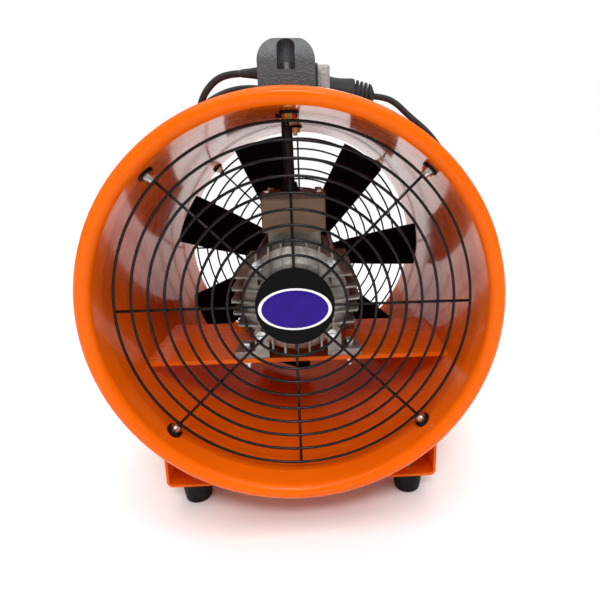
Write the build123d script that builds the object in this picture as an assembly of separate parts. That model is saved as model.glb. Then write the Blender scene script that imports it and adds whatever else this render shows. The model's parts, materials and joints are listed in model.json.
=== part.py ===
"""Portable axial ventilation fan: a short sheet-steel barrel with a motor on a cross shelf.

Units are millimetres. Every piece is drawn in the fan's own frame: X to the right, Y back from
the front rim (called depth here) and Z up from the impeller's axis. save() then moves it so that
the origin lies on the floor under the middle of the barrel.
"""

from build123d import *

import os
from math import asin, atan2, cos, degrees, pi, radians, sin, sqrt, tan

# Barrel
LENGTH = 340.0
SHEET = 1.5
WALL_INNER = 158.5
WALL_OUTER = WALL_INNER + SHEET
RIM_OUTER = 172.0
RIM_CURL = (RIM_OUTER - WALL_INNER) / 2
RIM_SKIRT = 5.0
AXIS_HEIGHT = 210.0

# Wire guards
GUARD_DEPTH = 24.0
GUARD_RADIUS = 149.0
GUARD_RINGS = 9
GUARD_INNERMOST = 44.2
GUARD_RING_SPREAD = 8.0
WIRE = 1.2
SPOKE_OFFSET = 2.2
GUARD_DISC = 33.5
FIXING_ANGLES = (45, 135, 225, 315)
FIXING_BOLT = 2.5

# Motor, a foot-mounted frame with a 63 mm shaft height
SHELF_TOP = -64.0
SHELF_THICK = 4.0
SHELF_FRONT = 65.0
SHELF_BACK = 168.0
FRAME_FRONT = 48.0
FRAME_BACK = 162.0
FRAME_OUTER = 46.0
STATOR_OUTER = 40.0
STATOR_BORE = 26.5
CORE_FRONT = 75.0
CORE_BACK = 137.0
FIN_REACH_SIDE = 57.0
FIN_REACH_TOP = 52.0
FIN_PITCH = 10.9
FIN_THICK = 1.7
SHIELD_RADIUS = 47.5
SHIELD_DEPTH = 12.0
MOTOR_FOOT_X = 50.0
MOTOR_FOOT_DEPTHS = (78.0, 149.0)
CORNER_SCREW_RADIUS = 45.0

# Ball bearings, 12 x 32 x 10
BEARING_BORE = 6.0
BEARING_OUTER = 16.0
BEARING_WIDTH = 10.0
BALL_COUNT = 7
BALL_RADIUS = 2.94
BALL_CIRCLE = 11.0
RACE_RADIUS = 3.0
BEARING_DEPTHS = {"front": 38.0, "rear": 162.0}

# Rotor and impeller
SHAFT_OUTPUT = 5.5
ROTOR_CORE = 26.0
BLADES = 7
BLADE_TIP = 149.5
BLADE_FIRST_ANGLE = 4.8
HUB_OUTER = 46.0
HUB_FRONT = 214.0
HUB_BACK = 250.0
BLADE_DEPTH = 233.0

# Terminal box and the lead from the handle
BOX_HALF_WIDTH = 29.0
BOX_FRONT = 70.0
BOX_BACK = 125.0
BOX_BOTTOM = 56.0
BOX_TOP = 86.0
LID_THICK = 5.5
LEAD_X = -3.0
LEAD_RADIUS = 4.8
GROMMET_DEPTH = 73.0
GLAND_DEPTH = 84.0

# Base
BRACKET_HALF_WIDTH = 131.5
BRACKET_FRONT = 46.0
BRACKET_BACK = 84.0
BRACKET_SHEET = 2.5
BRACKET_CORNER = 6.0
BRACKET_TOP = -95.0
FOOT_X = 106.5
FOOT_DEPTH = 63.0
FOOT_HEIGHT = 23.0
FOOT_TOP = FOOT_HEIGHT - AXIS_HEIGHT
FOOT_RADIUS = 15.8
FOOT_TOE = 12.6

# Carry handle
HANDLE_HALF_WIDTH = 22.5
HANDLE_FRONT = 38.0
HANDLE_BACK = 228.0
HANDLE_TOP = 215.5
HANDLE_ROUNDING = 21.5
GRIP_FRONT = 84.0
GRIP_BACK = 182.0
GRIP_UNDERSIDE = 190.0
WELL_RADIUS = 7.0
WELL_FLOOR = 188.0
WELL_ARCH = 205.5
WELL_DEPTHS = (48.0, 218.0)

# Switch in the handle's right side
SWITCH_DEPTH = 61.0
SWITCH_HEIGHT = 181.0
SWITCH_FACE = HANDLE_HALF_WIDTH
ROCKER_PIVOT_X = 21.0
ROCKER_TILT = 9.0

# Mains cord
CORD_RADIUS = 2.8
RELIEF_LENGTH = 16.0
CORD_EXIT = (-HANDLE_HALF_WIDTH, 66.0, 190.0)
PLUG_FACE = (25.0, 102.0, 178.8)
PLUG_TILT = 4.0
PLUG_BODY_RADIUS = 15.5
PLUG_BODY_LENGTH = 32.0
PLUG_RELIEF_LENGTH = 20.0

NODES = []


def save(name, *solids):
    """Moves the solids to the part's frame and writes them as one node."""
    home = Pos(0, -LENGTH / 2, AXIS_HEIGHT)
    pieces = [piece for solid in solids for piece in (home * solid).solids()]
    shape = pieces[0] if len(pieces) == 1 else Compound(children=pieces)
    export_step(shape, f"parts/{name}.step")
    NODES.append(name)


def disc(radius, front, back, x=0.0, z=0.0):
    """A solid cylinder along the depth direction."""
    return Pos(x, (front + back) / 2, z) * Rot(90, 0, 0) * Cylinder(radius, back - front)


def sleeve(outer, inner, front, back, x=0.0, z=0.0):
    """A tube along the depth direction."""
    return disc(outer, front, back, x, z) - disc(inner, front, back, x, z)


def post(radius, x, depth, low, high):
    """A solid upright cylinder."""
    return Pos(x, depth, (low + high) / 2) * Cylinder(radius, high - low)


def block(left, right, front, back, low, high):
    """A box given by its faces."""
    middle = Pos((left + right) / 2, (front + back) / 2, (low + high) / 2)
    return middle * Box(right - left, back - front, high - low)


def hexagon(flat_radius, low, high):
    """An upright hexagonal prism at the origin, by the distance to its flats."""
    outline = RegularPolygon(flat_radius, 6, major_radius=False)
    return Pos(0, 0, low) * extrude(outline, high - low)


def turned(profile):
    """A profile drawn as X = radius, Y = depth, turned about the fan's axis."""
    return revolve(profile, Axis.Y)


def mirrored_depth(shape):
    """The same piece at the other end of the barrel."""
    return Pos(0, LENGTH, 0) * mirror(shape, about=Plane.XZ)


def radial(shape, angle):
    """Turns a piece drawn upright above the axis to stand at the angle, counted from +X."""
    return Rot(0, 90 - angle, 0) * shape


def barrel():
    def rim():
        curl = Pos(WALL_INNER + RIM_CURL, RIM_CURL) * (Circle(RIM_CURL) - Circle(RIM_CURL - SHEET))
        front_half = Pos(WALL_INNER + RIM_CURL, RIM_CURL / 2) * Rectangle(2 * RIM_CURL, RIM_CURL)
        skirt_place = Pos(RIM_OUTER - SHEET / 2, RIM_CURL + RIM_SKIRT / 2)
        return (curl & front_half) + skirt_place * Rectangle(SHEET, RIM_SKIRT)

    wall_place = Pos(WALL_INNER + SHEET / 2, LENGTH / 2)
    wall = wall_place * Rectangle(SHEET, LENGTH - 2 * RIM_CURL)
    shell = turned(wall + rim() + mirrored_depth(rim()))
    for angle in FIXING_ANGLES:
        hole = radial(post(FIXING_BOLT + 0.3, 0, GUARD_DEPTH, WALL_INNER - 5, WALL_OUTER + 5), angle)
        shell = shell - hole - mirrored_depth(hole)
    for depth in WELL_DEPTHS:
        shell = shell - post(2.8, 0, depth, WALL_INNER - 5, WALL_OUTER + 5)
    return shell - post(7.0, LEAD_X, GROMMET_DEPTH, WALL_INNER - 5, WALL_OUTER + 5)


def base_bracket():
    """A pressed channel, open to the front, whose back web cradles the barrel."""
    width = 2 * BRACKET_HALF_WIDTH
    height = 2 * (BRACKET_TOP - FOOT_TOP)
    outline = RectangleRounded(width, height, BRACKET_CORNER)
    hollow = RectangleRounded(
        width - 2 * BRACKET_SHEET, height - 2 * BRACKET_SHEET, BRACKET_CORNER - BRACKET_SHEET
    )
    lower_half = Pos(0, -height / 4) * Rectangle(width, height / 2)
    section = (outline - hollow) & lower_half
    web = outline & lower_half
    upright = Pos(0, BRACKET_BACK, BRACKET_TOP) * Rot(90, 0, 0)
    channel = upright * extrude(section, BRACKET_BACK - BRACKET_FRONT)
    back = upright * extrude(web, BRACKET_SHEET)
    bracket = channel + back - disc(WALL_OUTER, 0, LENGTH)
    for side in (-1, 1):
        bracket -= post(3.3, side * FOOT_X, FOOT_DEPTH, FOOT_TOP - 1, FOOT_TOP + 10)
    return bracket


def rubber_foot():
    """A tapered bumper with a deep counterbore for its screw."""
    floor = -AXIS_HEIGHT
    outline = make_face(
        FilletPolyline(
            (0, floor), (FOOT_TOE, floor), (FOOT_RADIUS, FOOT_TOP), (0, FOOT_TOP),
            radius=(2.5, 1.0),
        )
        + Line((0, FOOT_TOP), (0, floor))
    )
    foot = revolve(Rot(90, 0, 0) * outline, Axis.Z)
    return foot - post(5.6, 0, 0, floor, floor + 11) - post(3.2, 0, 0, floor, FOOT_TOP)


def foot_places():
    for side in (-1, 1):
        for depth in (FOOT_DEPTH, LENGTH - FOOT_DEPTH):
            yield Pos(side * FOOT_X, depth, 0)


def foot_screw():
    floor = -AXIS_HEIGHT
    head = post(5.0, 0, 0, floor + 6, floor + 11) - Pos(0, 0, floor + 6) * hexagon(2.0, 0, 2.5)
    return head + post(3.0, 0, 0, floor + 11, FOOT_TOP + 11)


def foot_nut():
    low = FOOT_TOP + BRACKET_SHEET
    washer = post(6.2, 0, 0, low, low + 1.2)
    nut = Pos(0, 0, low + 1.2) * hexagon(5.0, 0, 5)
    return (washer + nut) - post(3.05, 0, 0, low - 1, low + 8)


def wire_guard():
    """Concentric rings welded on the front of eight radial spokes."""
    gaps = GUARD_RINGS - 1
    growth = GUARD_RING_SPREAD / gaps**2
    pitch = (GUARD_RADIUS - GUARD_INNERMOST - GUARD_RING_SPREAD) / gaps
    between_spokes = Pos(0, GUARD_DEPTH, 0) * Rot(0, 22.5, 0) * Rot(90, 0, 0)
    rings = [
        between_spokes * Torus(GUARD_INNERMOST + index * pitch + index**2 * growth, WIRE)
        for index in range(GUARD_RINGS)
    ]
    spoke = post(WIRE, 0, GUARD_DEPTH + SPOKE_OFFSET, GUARD_DISC - 6, GUARD_RADIUS)
    spokes = [Rot(0, 45 * step, 0) * spoke for step in range(8)]
    return rings[0].fuse(*rings[1:], *spokes)


def guard_disc():
    """The round plate that the spokes' inner ends are welded to."""
    back = GUARD_DEPTH + SPOKE_OFFSET - WIRE
    plate = disc(GUARD_DISC, back - 2.0, back)
    return fillet(plate.edges().group_by(Axis.Y)[0], 0.8)


def badge():
    """A blank oval plate with a raised border on the front disc, and the field inside it."""
    back = GUARD_DEPTH + SPOKE_OFFSET - WIRE - 2.0
    border = Ellipse(31.0, 18.3) - Ellipse(28.2, 15.6)
    field = Ellipse(28.2, 15.6)
    upright = Pos(0, back, -2.0) * Rot(90, 0, 0)
    return upright * extrude(border, 1.2), upright * extrude(field, 0.8)


def fixing_bolt():
    """The outside bolt of a guard fixing, drawn upright above the axis."""
    head = hexagon(4.0, WALL_OUTER + 1.0, WALL_OUTER + 4.5)
    washer = post(6.0, 0, 0, WALL_OUTER, WALL_OUTER + 1.0)
    return head + washer + post(FIXING_BOLT, 0, 0, GUARD_RADIUS + WIRE + 1.0, WALL_OUTER + 1.0)


def fixing_washer():
    return post(7.0, 0, 0, WALL_INNER - 2.6, WALL_INNER) - post(2.6, 0, 0, 0, WALL_OUTER)


def fixing_nut():
    top = WALL_INNER - 2.6
    return hexagon(4.5, top - 3.4, top) - post(2.55, 0, 0, 0, WALL_OUTER)


def fixing_sleeve():
    """A short threaded boss welded to the guard's outer ring."""
    low = GUARD_RADIUS + WIRE - 0.4
    high = WALL_INNER - 2.6 - 3.4
    return post(3.6, 0, 0, low, high) - post(2.55, 0, 0, low + 1.4, high)


def fixings(piece):
    """A guard fixing piece at all four places on both guards."""
    pieces = []
    for angle in FIXING_ANGLES:
        placed = radial(Pos(0, GUARD_DEPTH, 0) * piece, angle)
        pieces += [placed, mirrored_depth(placed)]
    return pieces


def motor_shelf():
    width = WALL_INNER + 1
    plate = block(-width, width, SHELF_FRONT, SHELF_BACK, SHELF_TOP - SHELF_THICK, SHELF_TOP)
    plate = plate & disc(WALL_INNER, 0, LENGTH)
    for side in (-1, 1):
        for depth in MOTOR_FOOT_DEPTHS:
            plate -= post(3.3, side * MOTOR_FOOT_X, depth, SHELF_TOP - 10, SHELF_TOP + 10)
    return plate


def fin_tip(offset, reach):
    """How far a fin stands out, on the rounded envelope of the finned frame."""
    return reach * sqrt(1 - (offset / FIN_REACH_SIDE) ** 2)


def cooling_fins(front, back, root):
    """Upright fins above and below and level fins at both sides."""
    half = FIN_THICK / 2
    fins = []
    for step in range(-3, 4):
        x = step * FIN_PITCH
        tip = fin_tip(x, FIN_REACH_TOP)
        fins.append(block(x - half, x + half, front, back, root(x), tip))
        fins.append(block(x - half, x + half, front, back, -tip, -root(x)))
    for step in range(-2, 3):
        z = step * FIN_PITCH
        tip = fin_tip(z, FIN_REACH_SIDE)
        fins.append(block(root(z), tip, front, back, z - half, z + half))
        fins.append(block(-tip, -root(z), front, back, z - half, z + half))
    return fins


def corner_places(radius):
    for angle in FIXING_ANGLES:
        yield radius * cos(radians(angle)), radius * sin(radians(angle))


def motor_frame():
    """The cast housing: a finned tube with corner lugs and two pairs of feet."""
    root_radius = FRAME_OUTER - 1.0
    frame = disc(FRAME_OUTER, FRAME_FRONT, FRAME_BACK)
    for fin in cooling_fins(FRAME_FRONT, FRAME_BACK, lambda x: sqrt(root_radius**2 - x * x)):
        frame += fin
    for x, z in corner_places(CORNER_SCREW_RADIUS - 3.0):
        frame += disc(7.5, FRAME_FRONT, FRAME_BACK, x, z)
    for side in (-1, 1):
        for depth in MOTOR_FOOT_DEPTHS:
            inner, outer = sorted((side * 28.0, side * 60.0))
            frame += block(inner, outer, depth - 12, depth + 12, SHELF_TOP, SHELF_TOP + 7)
            inner, outer = sorted((side * 28.0, side * 41.0))
            frame += block(inner, outer, depth - 12, depth + 12, SHELF_TOP, -36.0)
    frame += block(-24, 24, BOX_FRONT + 4, BOX_BACK - 4, 40, BOX_BOTTOM)
    frame -= disc(STATOR_OUTER, 0, LENGTH)
    for side in (-1, 1):
        for depth in MOTOR_FOOT_DEPTHS:
            frame -= post(3.4, side * MOTOR_FOOT_X, depth, SHELF_TOP - 1, SHELF_TOP + 8)
    for x, z in corner_places(CORNER_SCREW_RADIUS):
        frame -= disc(2.05, FRAME_FRONT, FRAME_FRONT + 18, x, z)
        frame -= disc(2.05, FRAME_BACK - 18, FRAME_BACK, x, z)
    return frame


def front_shield():
    """The domed end cover at the front, with its bearing seat inside and short fins outside."""
    back = FRAME_FRONT
    front = back - SHIELD_DEPTH
    outline = make_face(
        Polyline(
            (0, front - 2), (19, front - 2), (24, front + 1), (34, front + 4), (43, front + 8),
            (SHIELD_RADIUS, back - 1), (SHIELD_RADIUS, back), (0, back), (0, front - 2),
        )
    )
    rib_envelope = turned(make_face(
        Polyline(
            (18, front - 3), (25, front - 2), (34, front + 0.5), (43, front + 4), (50, back - 6.5),
            (FIN_REACH_SIDE - 1, back - 5.5), (FIN_REACH_SIDE - 1, back), (18, back), (18, front - 3),
        )
    ))
    shield = turned(outline)
    for fin in cooling_fins(front - 4, back, lambda offset: 15.0):
        shield += fin & rib_envelope
    for x, z in corner_places(CORNER_SCREW_RADIUS - 3.0):
        shield += disc(7.5, back - 4, back, x, z)
    shield -= disc(BEARING_OUTER, BEARING_DEPTHS["front"], LENGTH)
    shield -= turned(Pos(27, back - 2.2) * Rectangle(22, 4.4))
    for x, z in corner_places(CORNER_SCREW_RADIUS):
        shield -= disc(2.3, 0, back, x, z) + disc(4.6, 0, back - 4, x, z)
    return shield


def rear_shield():
    """The flatter end cover that the shaft comes out of."""
    front = FRAME_BACK
    back = front + SHIELD_DEPTH
    outline = make_face(
        Polyline(
            (0, front), (SHIELD_RADIUS, front), (SHIELD_RADIUS, front + 4), (40, back - 3),
            (24, back), (20, back + 2), (0, back + 2), (0, front),
        )
    )
    shield = turned(outline)
    for x, z in corner_places(CORNER_SCREW_RADIUS - 3.0):
        shield += disc(7.5, front, front + 4, x, z)
    shield -= disc(BEARING_OUTER, 0, front + BEARING_WIDTH)
    shield -= disc(BEARING_BORE + 1.0, 0, LENGTH)
    for x, z in corner_places(CORNER_SCREW_RADIUS):
        shield -= disc(2.3, front, back, x, z) + disc(4.6, front + 4, back + 2, x, z)
    return shield


def shield_screws():
    """Pan-head screws through the corner lugs of both end covers."""
    screws = []
    for x, z in corner_places(CORNER_SCREW_RADIUS):
        front = FRAME_FRONT - 4
        head = disc(4.2, front - 3, front, x, z) - block(
            x - 5, x + 5, front - 3, front - 1.8, z - 0.5, z + 0.5
        )
        screws.append(head + disc(2.0, front, FRAME_FRONT + 16, x, z))
        back = FRAME_BACK + 4
        head = disc(4.2, back, back + 3, x, z) - block(
            x - 5, x + 5, back + 1.8, back + 3, z - 0.5, z + 0.5
        )
        screws.append(head + disc(2.0, FRAME_BACK - 16, back, x, z))
    return screws


def motor_foot_bolts():
    bolts = []
    top = SHELF_TOP + 7
    for side in (-1, 1):
        for depth in MOTOR_FOOT_DEPTHS:
            place = Pos(side * MOTOR_FOOT_X, depth, 0)
            head = hexagon(4.6, top + 1.2, top + 5.4)
            washer = post(5.8, 0, 0, top, top + 1.2)
            bolts.append(place * (head + washer + post(3.0, 0, 0, SHELF_TOP - 14, top + 1.2)))
    return bolts


def motor_foot_nuts():
    low = SHELF_TOP - SHELF_THICK
    nut = hexagon(5.0, low - 5, low) - post(3.05, 0, 0, low - 6, low + 1)
    return [
        Pos(side * MOTOR_FOOT_X, depth, 0) * nut for side in (-1, 1) for depth in MOTOR_FOOT_DEPTHS
    ]


def stator_core():
    """The laminated ring, with slots open to the rotor."""
    core = sleeve(STATOR_OUTER, STATOR_BORE, CORE_FRONT, CORE_BACK)
    for step in range(12):
        slot = block(-2.2, 2.2, CORE_FRONT, CORE_BACK, STATOR_BORE - 1, 35)
        core -= Rot(0, 30 * step + 15, 0) * slot
    return core


def stator_windings():
    """The copper end turns, one padded ring at each end of the core."""
    profile = RectangleRounded(9, 11, 3)
    rings = []
    for depth in (CORE_FRONT - 6.5, CORE_BACK + 6.5):
        rings.append(turned(Pos(33.2, depth) * profile))
    return rings


def terminal_box():
    inner = 2.5
    box = block(-BOX_HALF_WIDTH, BOX_HALF_WIDTH, BOX_FRONT, BOX_BACK, BOX_BOTTOM, BOX_TOP)
    box = fillet(box.edges().filter_by(Axis.Z), 2.5)
    hollow = block(
        -BOX_HALF_WIDTH + inner, BOX_HALF_WIDTH - inner, BOX_FRONT + inner, BOX_BACK - inner,
        BOX_BOTTOM + inner, BOX_TOP + 1,
    )
    box -= hollow
    for x, depth in lid_screw_places():
        box += post(3.4, x, depth, BOX_BOTTOM + inner, BOX_TOP)
        box -= post(1.7, x, depth, BOX_TOP - 12, BOX_TOP)
    clear_of_fins = disc(FIN_REACH_TOP + 0.5, BOX_FRONT, BOX_BACK)
    return box - (clear_of_fins & block(-60, 60, 0, LENGTH, BOX_BOTTOM - 1, BOX_BOTTOM + 2.4))


def lid_screw_places():
    for side in (-1, 1):
        for depth in (BOX_FRONT + 5.5, BOX_BACK - 5.5):
            yield side * (BOX_HALF_WIDTH - 5.5), depth


def terminal_lid():
    lid = block(
        -BOX_HALF_WIDTH - 0.6, BOX_HALF_WIDTH + 0.6, BOX_FRONT - 0.6, BOX_BACK + 0.6,
        BOX_TOP, BOX_TOP + LID_THICK,
    )
    lid = fillet(lid.edges().filter_by(Axis.Z), 3.0)
    lid = fillet(lid.faces().sort_by(Axis.Z)[-1].edges(), 1.2)
    for x, depth in lid_screw_places():
        lid -= post(1.9, x, depth, BOX_TOP - 1, BOX_TOP + LID_THICK + 1)
    return lid - post(6.3, LEAD_X, GLAND_DEPTH, BOX_TOP - 1, BOX_TOP + LID_THICK + 1)


def lid_screws():
    screws = []
    top = BOX_TOP + LID_THICK
    for x, depth in lid_screw_places():
        head = post(3.3, x, depth, top, top + 2.0)
        head -= block(x - 4, x + 4, depth - 0.4, depth + 0.4, top + 1.0, top + 2.0)
        screws.append(head + post(1.6, x, depth, BOX_TOP - 10, top))
    return screws


def terminal_block():
    strip = block(-16, 16, 108, 118, BOX_BOTTOM + 4, BOX_BOTTOM + 15)
    for x in (-11, -3.7, 3.7, 11):
        strip -= post(2.0, x, 113, BOX_BOTTOM + 9, BOX_BOTTOM + 16)
    return strip + block(-20, 20, 109, 117, BOX_BOTTOM + 2.5, BOX_BOTTOM + 4)


def run_capacitor():
    """A round can lying across the box, with two tabs at one end."""
    can = Pos(0, 97, BOX_BOTTOM + 15.4) * Rot(0, 90, 0) * Cylinder(9.5, 40)
    return can + block(19, 24, 94, 95, 63, 67) + block(19, 24, 99, 100, 63, 67)


def terminal_gland():
    """The black cable gland in the lid: locking nut below, dome nut above."""
    top = BOX_TOP + LID_THICK
    place = Pos(LEAD_X, GLAND_DEPTH, 0)
    body = post(6.2, 0, 0, BOX_TOP - 7, top) + hexagon(8.0, top, top + 4)
    body += Pos(0, 0, top + 4) * extrude(Circle(7.6), 5, taper=12)
    body += hexagon(8.0, BOX_TOP - 5, BOX_TOP - 1.5)
    return place * (body - post(LEAD_RADIUS, 0, 0, 0, AXIS_HEIGHT))


def motor_lead():
    """The sleeved lead from the handle down to the terminal box."""
    top = Vector(LEAD_X, GROMMET_DEPTH, WALL_OUTER + 1.0)
    bottom = Vector(LEAD_X, GLAND_DEPTH, BOX_TOP - 4)
    path = FilletPolyline(
        top, top - Vector(0, 0, 20), bottom + Vector(0, 0, 28), bottom, radius=(24, 24)
    )
    return sweep(Plane(top, z_dir=(0, 0, -1)) * Circle(LEAD_RADIUS), path)


def lead_grommet():
    """A rubber ring with a groove for the barrel wall."""
    low, high = WALL_INNER - 3.2, WALL_OUTER + 1.0
    ring = post(9.5, 0, 0, low, WALL_INNER - 0.5) + post(6.9, 0, 0, WALL_INNER - 0.5, high)
    return Pos(LEAD_X, GROMMET_DEPTH, 0) * (ring - post(LEAD_RADIUS, 0, 0, low - 1, high + 1))


def handle():
    """The closed carry handle as one body, before it is split down its middle."""
    front, back, top = HANDLE_FRONT, HANDLE_BACK, HANDLE_TOP
    low, shoulder = 150, HANDLE_TOP - 23
    side = make_face(
        Polyline((front, low), (front, shoulder))
        + ThreePointArc((front, shoulder), (front + 6, top - 7), (front + 21, top - 1))
        + Line((front + 21, top - 1), (front + 45, top))
        + Line((front + 45, top), (back - 45, top))
        + Line((back - 45, top), (back - 21, top - 1))
        + ThreePointArc((back - 21, top - 1), (back - 6, top - 7), (back, shoulder))
        + Polyline((back, shoulder), (back, low), (front, low))
    )
    width = 2 * HANDLE_HALF_WIDTH
    along = Plane.YZ * side
    body = extrude(along, HANDLE_HALF_WIDTH, both=True)
    end_height = HANDLE_TOP - 130
    end = Pos(0, HANDLE_TOP - end_height / 2) * RectangleRounded(
        width, end_height, HANDLE_ROUNDING
    )
    dome = extrude(Plane.XZ * end, -LENGTH)
    body = body & dome
    opening = Pos((GRIP_FRONT + GRIP_BACK) / 2, (GRIP_UNDERSIDE + 100) / 2) * RectangleRounded(
        GRIP_BACK - GRIP_FRONT, GRIP_UNDERSIDE - 100, 11
    )
    body -= extrude(Plane.YZ * opening, 60, both=True)
    waist_radius, waist_half = 90.0, 16.5
    for sign in (-1, 1):
        x = sign * (waist_radius + waist_half)
        waist = Pos(x, (GRIP_FRONT + GRIP_BACK) / 2, HANDLE_TOP) * Cylinder(waist_radius, 120)
        body -= waist
    body -= disc(WALL_OUTER, -10, LENGTH + 10)
    for depth in WELL_DEPTHS:
        outer_end = 0 if depth < LENGTH / 2 else LENGTH
        channel_front, channel_back = sorted((depth, outer_end))
        body -= post(WELL_RADIUS, 0, depth, WELL_FLOOR, WELL_ARCH)
        body -= Pos(0, depth, WELL_ARCH) * Sphere(WELL_RADIUS)
        body -= disc(WELL_RADIUS, channel_front, channel_back, 0, WELL_ARCH)
        body -= block(
            -WELL_RADIUS, WELL_RADIUS, channel_front, channel_back, WELL_FLOOR, WELL_ARCH
        )
        body -= post(2.8, 0, depth, 100, WELL_FLOOR + 1)
    body -= post(5.2, LEAD_X, GROMMET_DEPTH, 100, 176) + post(7.2, LEAD_X, GROMMET_DEPTH, 100, 163)
    body -= block(9, 30, SWITCH_DEPTH - 14, SWITCH_DEPTH + 14, SWITCH_HEIGHT - 10, SWITCH_HEIGHT + 10)
    body -= block(LEAD_X - 5, 12, SWITCH_DEPTH - 2, GROMMET_DEPTH + 5, 172, SWITCH_HEIGHT + 4)
    exit_x, exit_depth, exit_height = CORD_EXIT
    return body - Pos(exit_x, exit_depth, exit_height) * Rot(0, 90, 0) * Cylinder(4.6, 24)


def handle_half(side):
    half = block(-60, 0, 0, LENGTH, 100, 260) if side < 0 else block(0, 60, 0, LENGTH, 100, 260)
    shell = handle() & half
    for depth, height in handle_screw_places():
        across = Pos(0, depth, height) * Rot(0, 90, 0)
        shell -= across * Cylinder(1.55, 28)
        shell -= Pos(-18, 0, 0) * across * Cylinder(3.4, 14)
    return shell


def handle_screw_places():
    return ((57.0, 168.0), (93.0, 199.0), (173.0, 199.0), (206.0, 168.0))


def handle_screws():
    """Cross-head screws that draw the two halves together, from the left side."""
    screws = []
    for depth, height in handle_screw_places():
        place = Pos(0, depth, height) * Rot(0, 90, 0)
        screw = Pos(0, 0, -12.2) * Cylinder(3.0, 2.4) + Pos(0, 0, 1.0) * Cylinder(1.5, 24)
        slot = Pos(0, 0, -13) * (Box(0.7, 4.4, 1.0) + Box(4.4, 0.7, 1.0))
        screws.append(place * (screw - slot))
    return screws


def handle_bolts():
    """Cap screws down the two wells, through the barrel wall."""
    bolts = []
    for depth in WELL_DEPTHS:
        head = post(4.6, 0, depth, WELL_FLOOR + 1.0, WELL_FLOOR + 6.0)
        head -= Pos(0, depth, 0) * hexagon(2.0, WELL_FLOOR + 3.2, WELL_FLOOR + 7)
        washer = post(6.0, 0, depth, WELL_FLOOR, WELL_FLOOR + 1.0)
        bolts.append(head + washer + post(2.5, 0, depth, WALL_INNER - 11, WELL_FLOOR + 1.0))
    return bolts


def handle_nuts():
    top = WALL_INNER - 2.4
    nut = hexagon(5.0, top - 5.2, top) - post(2.55, 0, 0, 0, WALL_OUTER)
    return [Pos(0, depth, 0) * nut for depth in WELL_DEPTHS]


def handle_washers():
    ring = post(8.2, 0, 0, WALL_INNER - 2.4, WALL_INNER + 0.5) - post(2.6, 0, 0, 0, WALL_OUTER)
    ring -= post(9, 0, 0, WALL_OUTER, WALL_OUTER + 5)
    return [Pos(0, depth, 0) * ring & disc(WALL_INNER, 0, LENGTH) for depth in WELL_DEPTHS]


def switch_body():
    """The snap-in switch housing with its flange on the handle's side."""
    flange = block(
        SWITCH_FACE, SWITCH_FACE + 2, SWITCH_DEPTH - 17, SWITCH_DEPTH + 17,
        SWITCH_HEIGHT - 13, SWITCH_HEIGHT + 13,
    )
    flange = fillet(flange.edges().filter_by(Axis.X), 3.0)
    housing = block(
        9.5, SWITCH_FACE, SWITCH_DEPTH - 13.6, SWITCH_DEPTH + 13.6,
        SWITCH_HEIGHT - 9.6, SWITCH_HEIGHT + 9.6,
    )
    pocket = block(
        14.5, SWITCH_FACE + 3, SWITCH_DEPTH - 11.6, SWITCH_DEPTH + 11.6,
        SWITCH_HEIGHT - 7.2, SWITCH_HEIGHT + 7.2,
    )
    pin_hole = post(1.55, ROCKER_PIVOT_X, SWITCH_DEPTH, SWITCH_HEIGHT - 9, SWITCH_HEIGHT + 9)
    return flange + housing - pocket - pin_hole


def switch_rocker():
    """A V-topped paddle on a pin that runs up and down, resting in its off position."""
    outline = make_face(
        Polyline(
            (0, -10.4), (4.6, -10.4), (3.2, 0), (4.6, 10.4), (0, 10.4), (-4, 4), (-4, -4),
            (0, -10.4),
        )
    )
    paddle = Pos(0, 0, -6.8) * extrude(outline, 13.6)
    pin = Cylinder(1.5, 17.6)
    place = Pos(ROCKER_PIVOT_X, SWITCH_DEPTH, SWITCH_HEIGHT) * Rot(0, 0, ROCKER_TILT)
    return place * (paddle + pin)


def switch_cover():
    """The clear weather cap over the rocker, a thin box clipped to the flange."""
    face = SWITCH_FACE + 2
    cap = block(
        face, face + 9.5, SWITCH_DEPTH - 16, SWITCH_DEPTH + 16,
        SWITCH_HEIGHT - 12, SWITCH_HEIGHT + 12,
    )
    cap = fillet(cap.edges().filter_by(Axis.X), 3.0)
    cap = fillet(cap.faces().sort_by(Axis.X)[-1].edges(), 2.0)
    return cap - block(
        face - 1, face + 8.2, SWITCH_DEPTH - 14.6, SWITCH_DEPTH + 14.6,
        SWITCH_HEIGHT - 10.6, SWITCH_HEIGHT + 10.6,
    )


def cord_relief():
    """The flexible sleeve where the cord leaves the handle's left side."""
    x, depth, height = CORD_EXIT
    outline = make_face(
        Polyline(
            (0, -8), (4.5, -8), (4.5, 0), (5.0, 0), (4.5, 5), (3.7, 12), (3.3, RELIEF_LENGTH),
            (0, RELIEF_LENGTH), (0, -8),
        )
    )
    relief = revolve(Rot(90, 0, 0) * outline, Axis.Z)
    relief -= post(CORD_RADIUS, 0, 0, RELIEF_LENGTH - 4, RELIEF_LENGTH)
    return Pos(x, depth, height) * Rot(0, -90, 0) * relief


def plug_place():
    """The plug's own frame: its Z runs from the pin face back along the body."""
    x, depth, height = PLUG_FACE
    return Pos(x, depth, height) * Rot(0, 90 + PLUG_TILT, 0)


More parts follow.
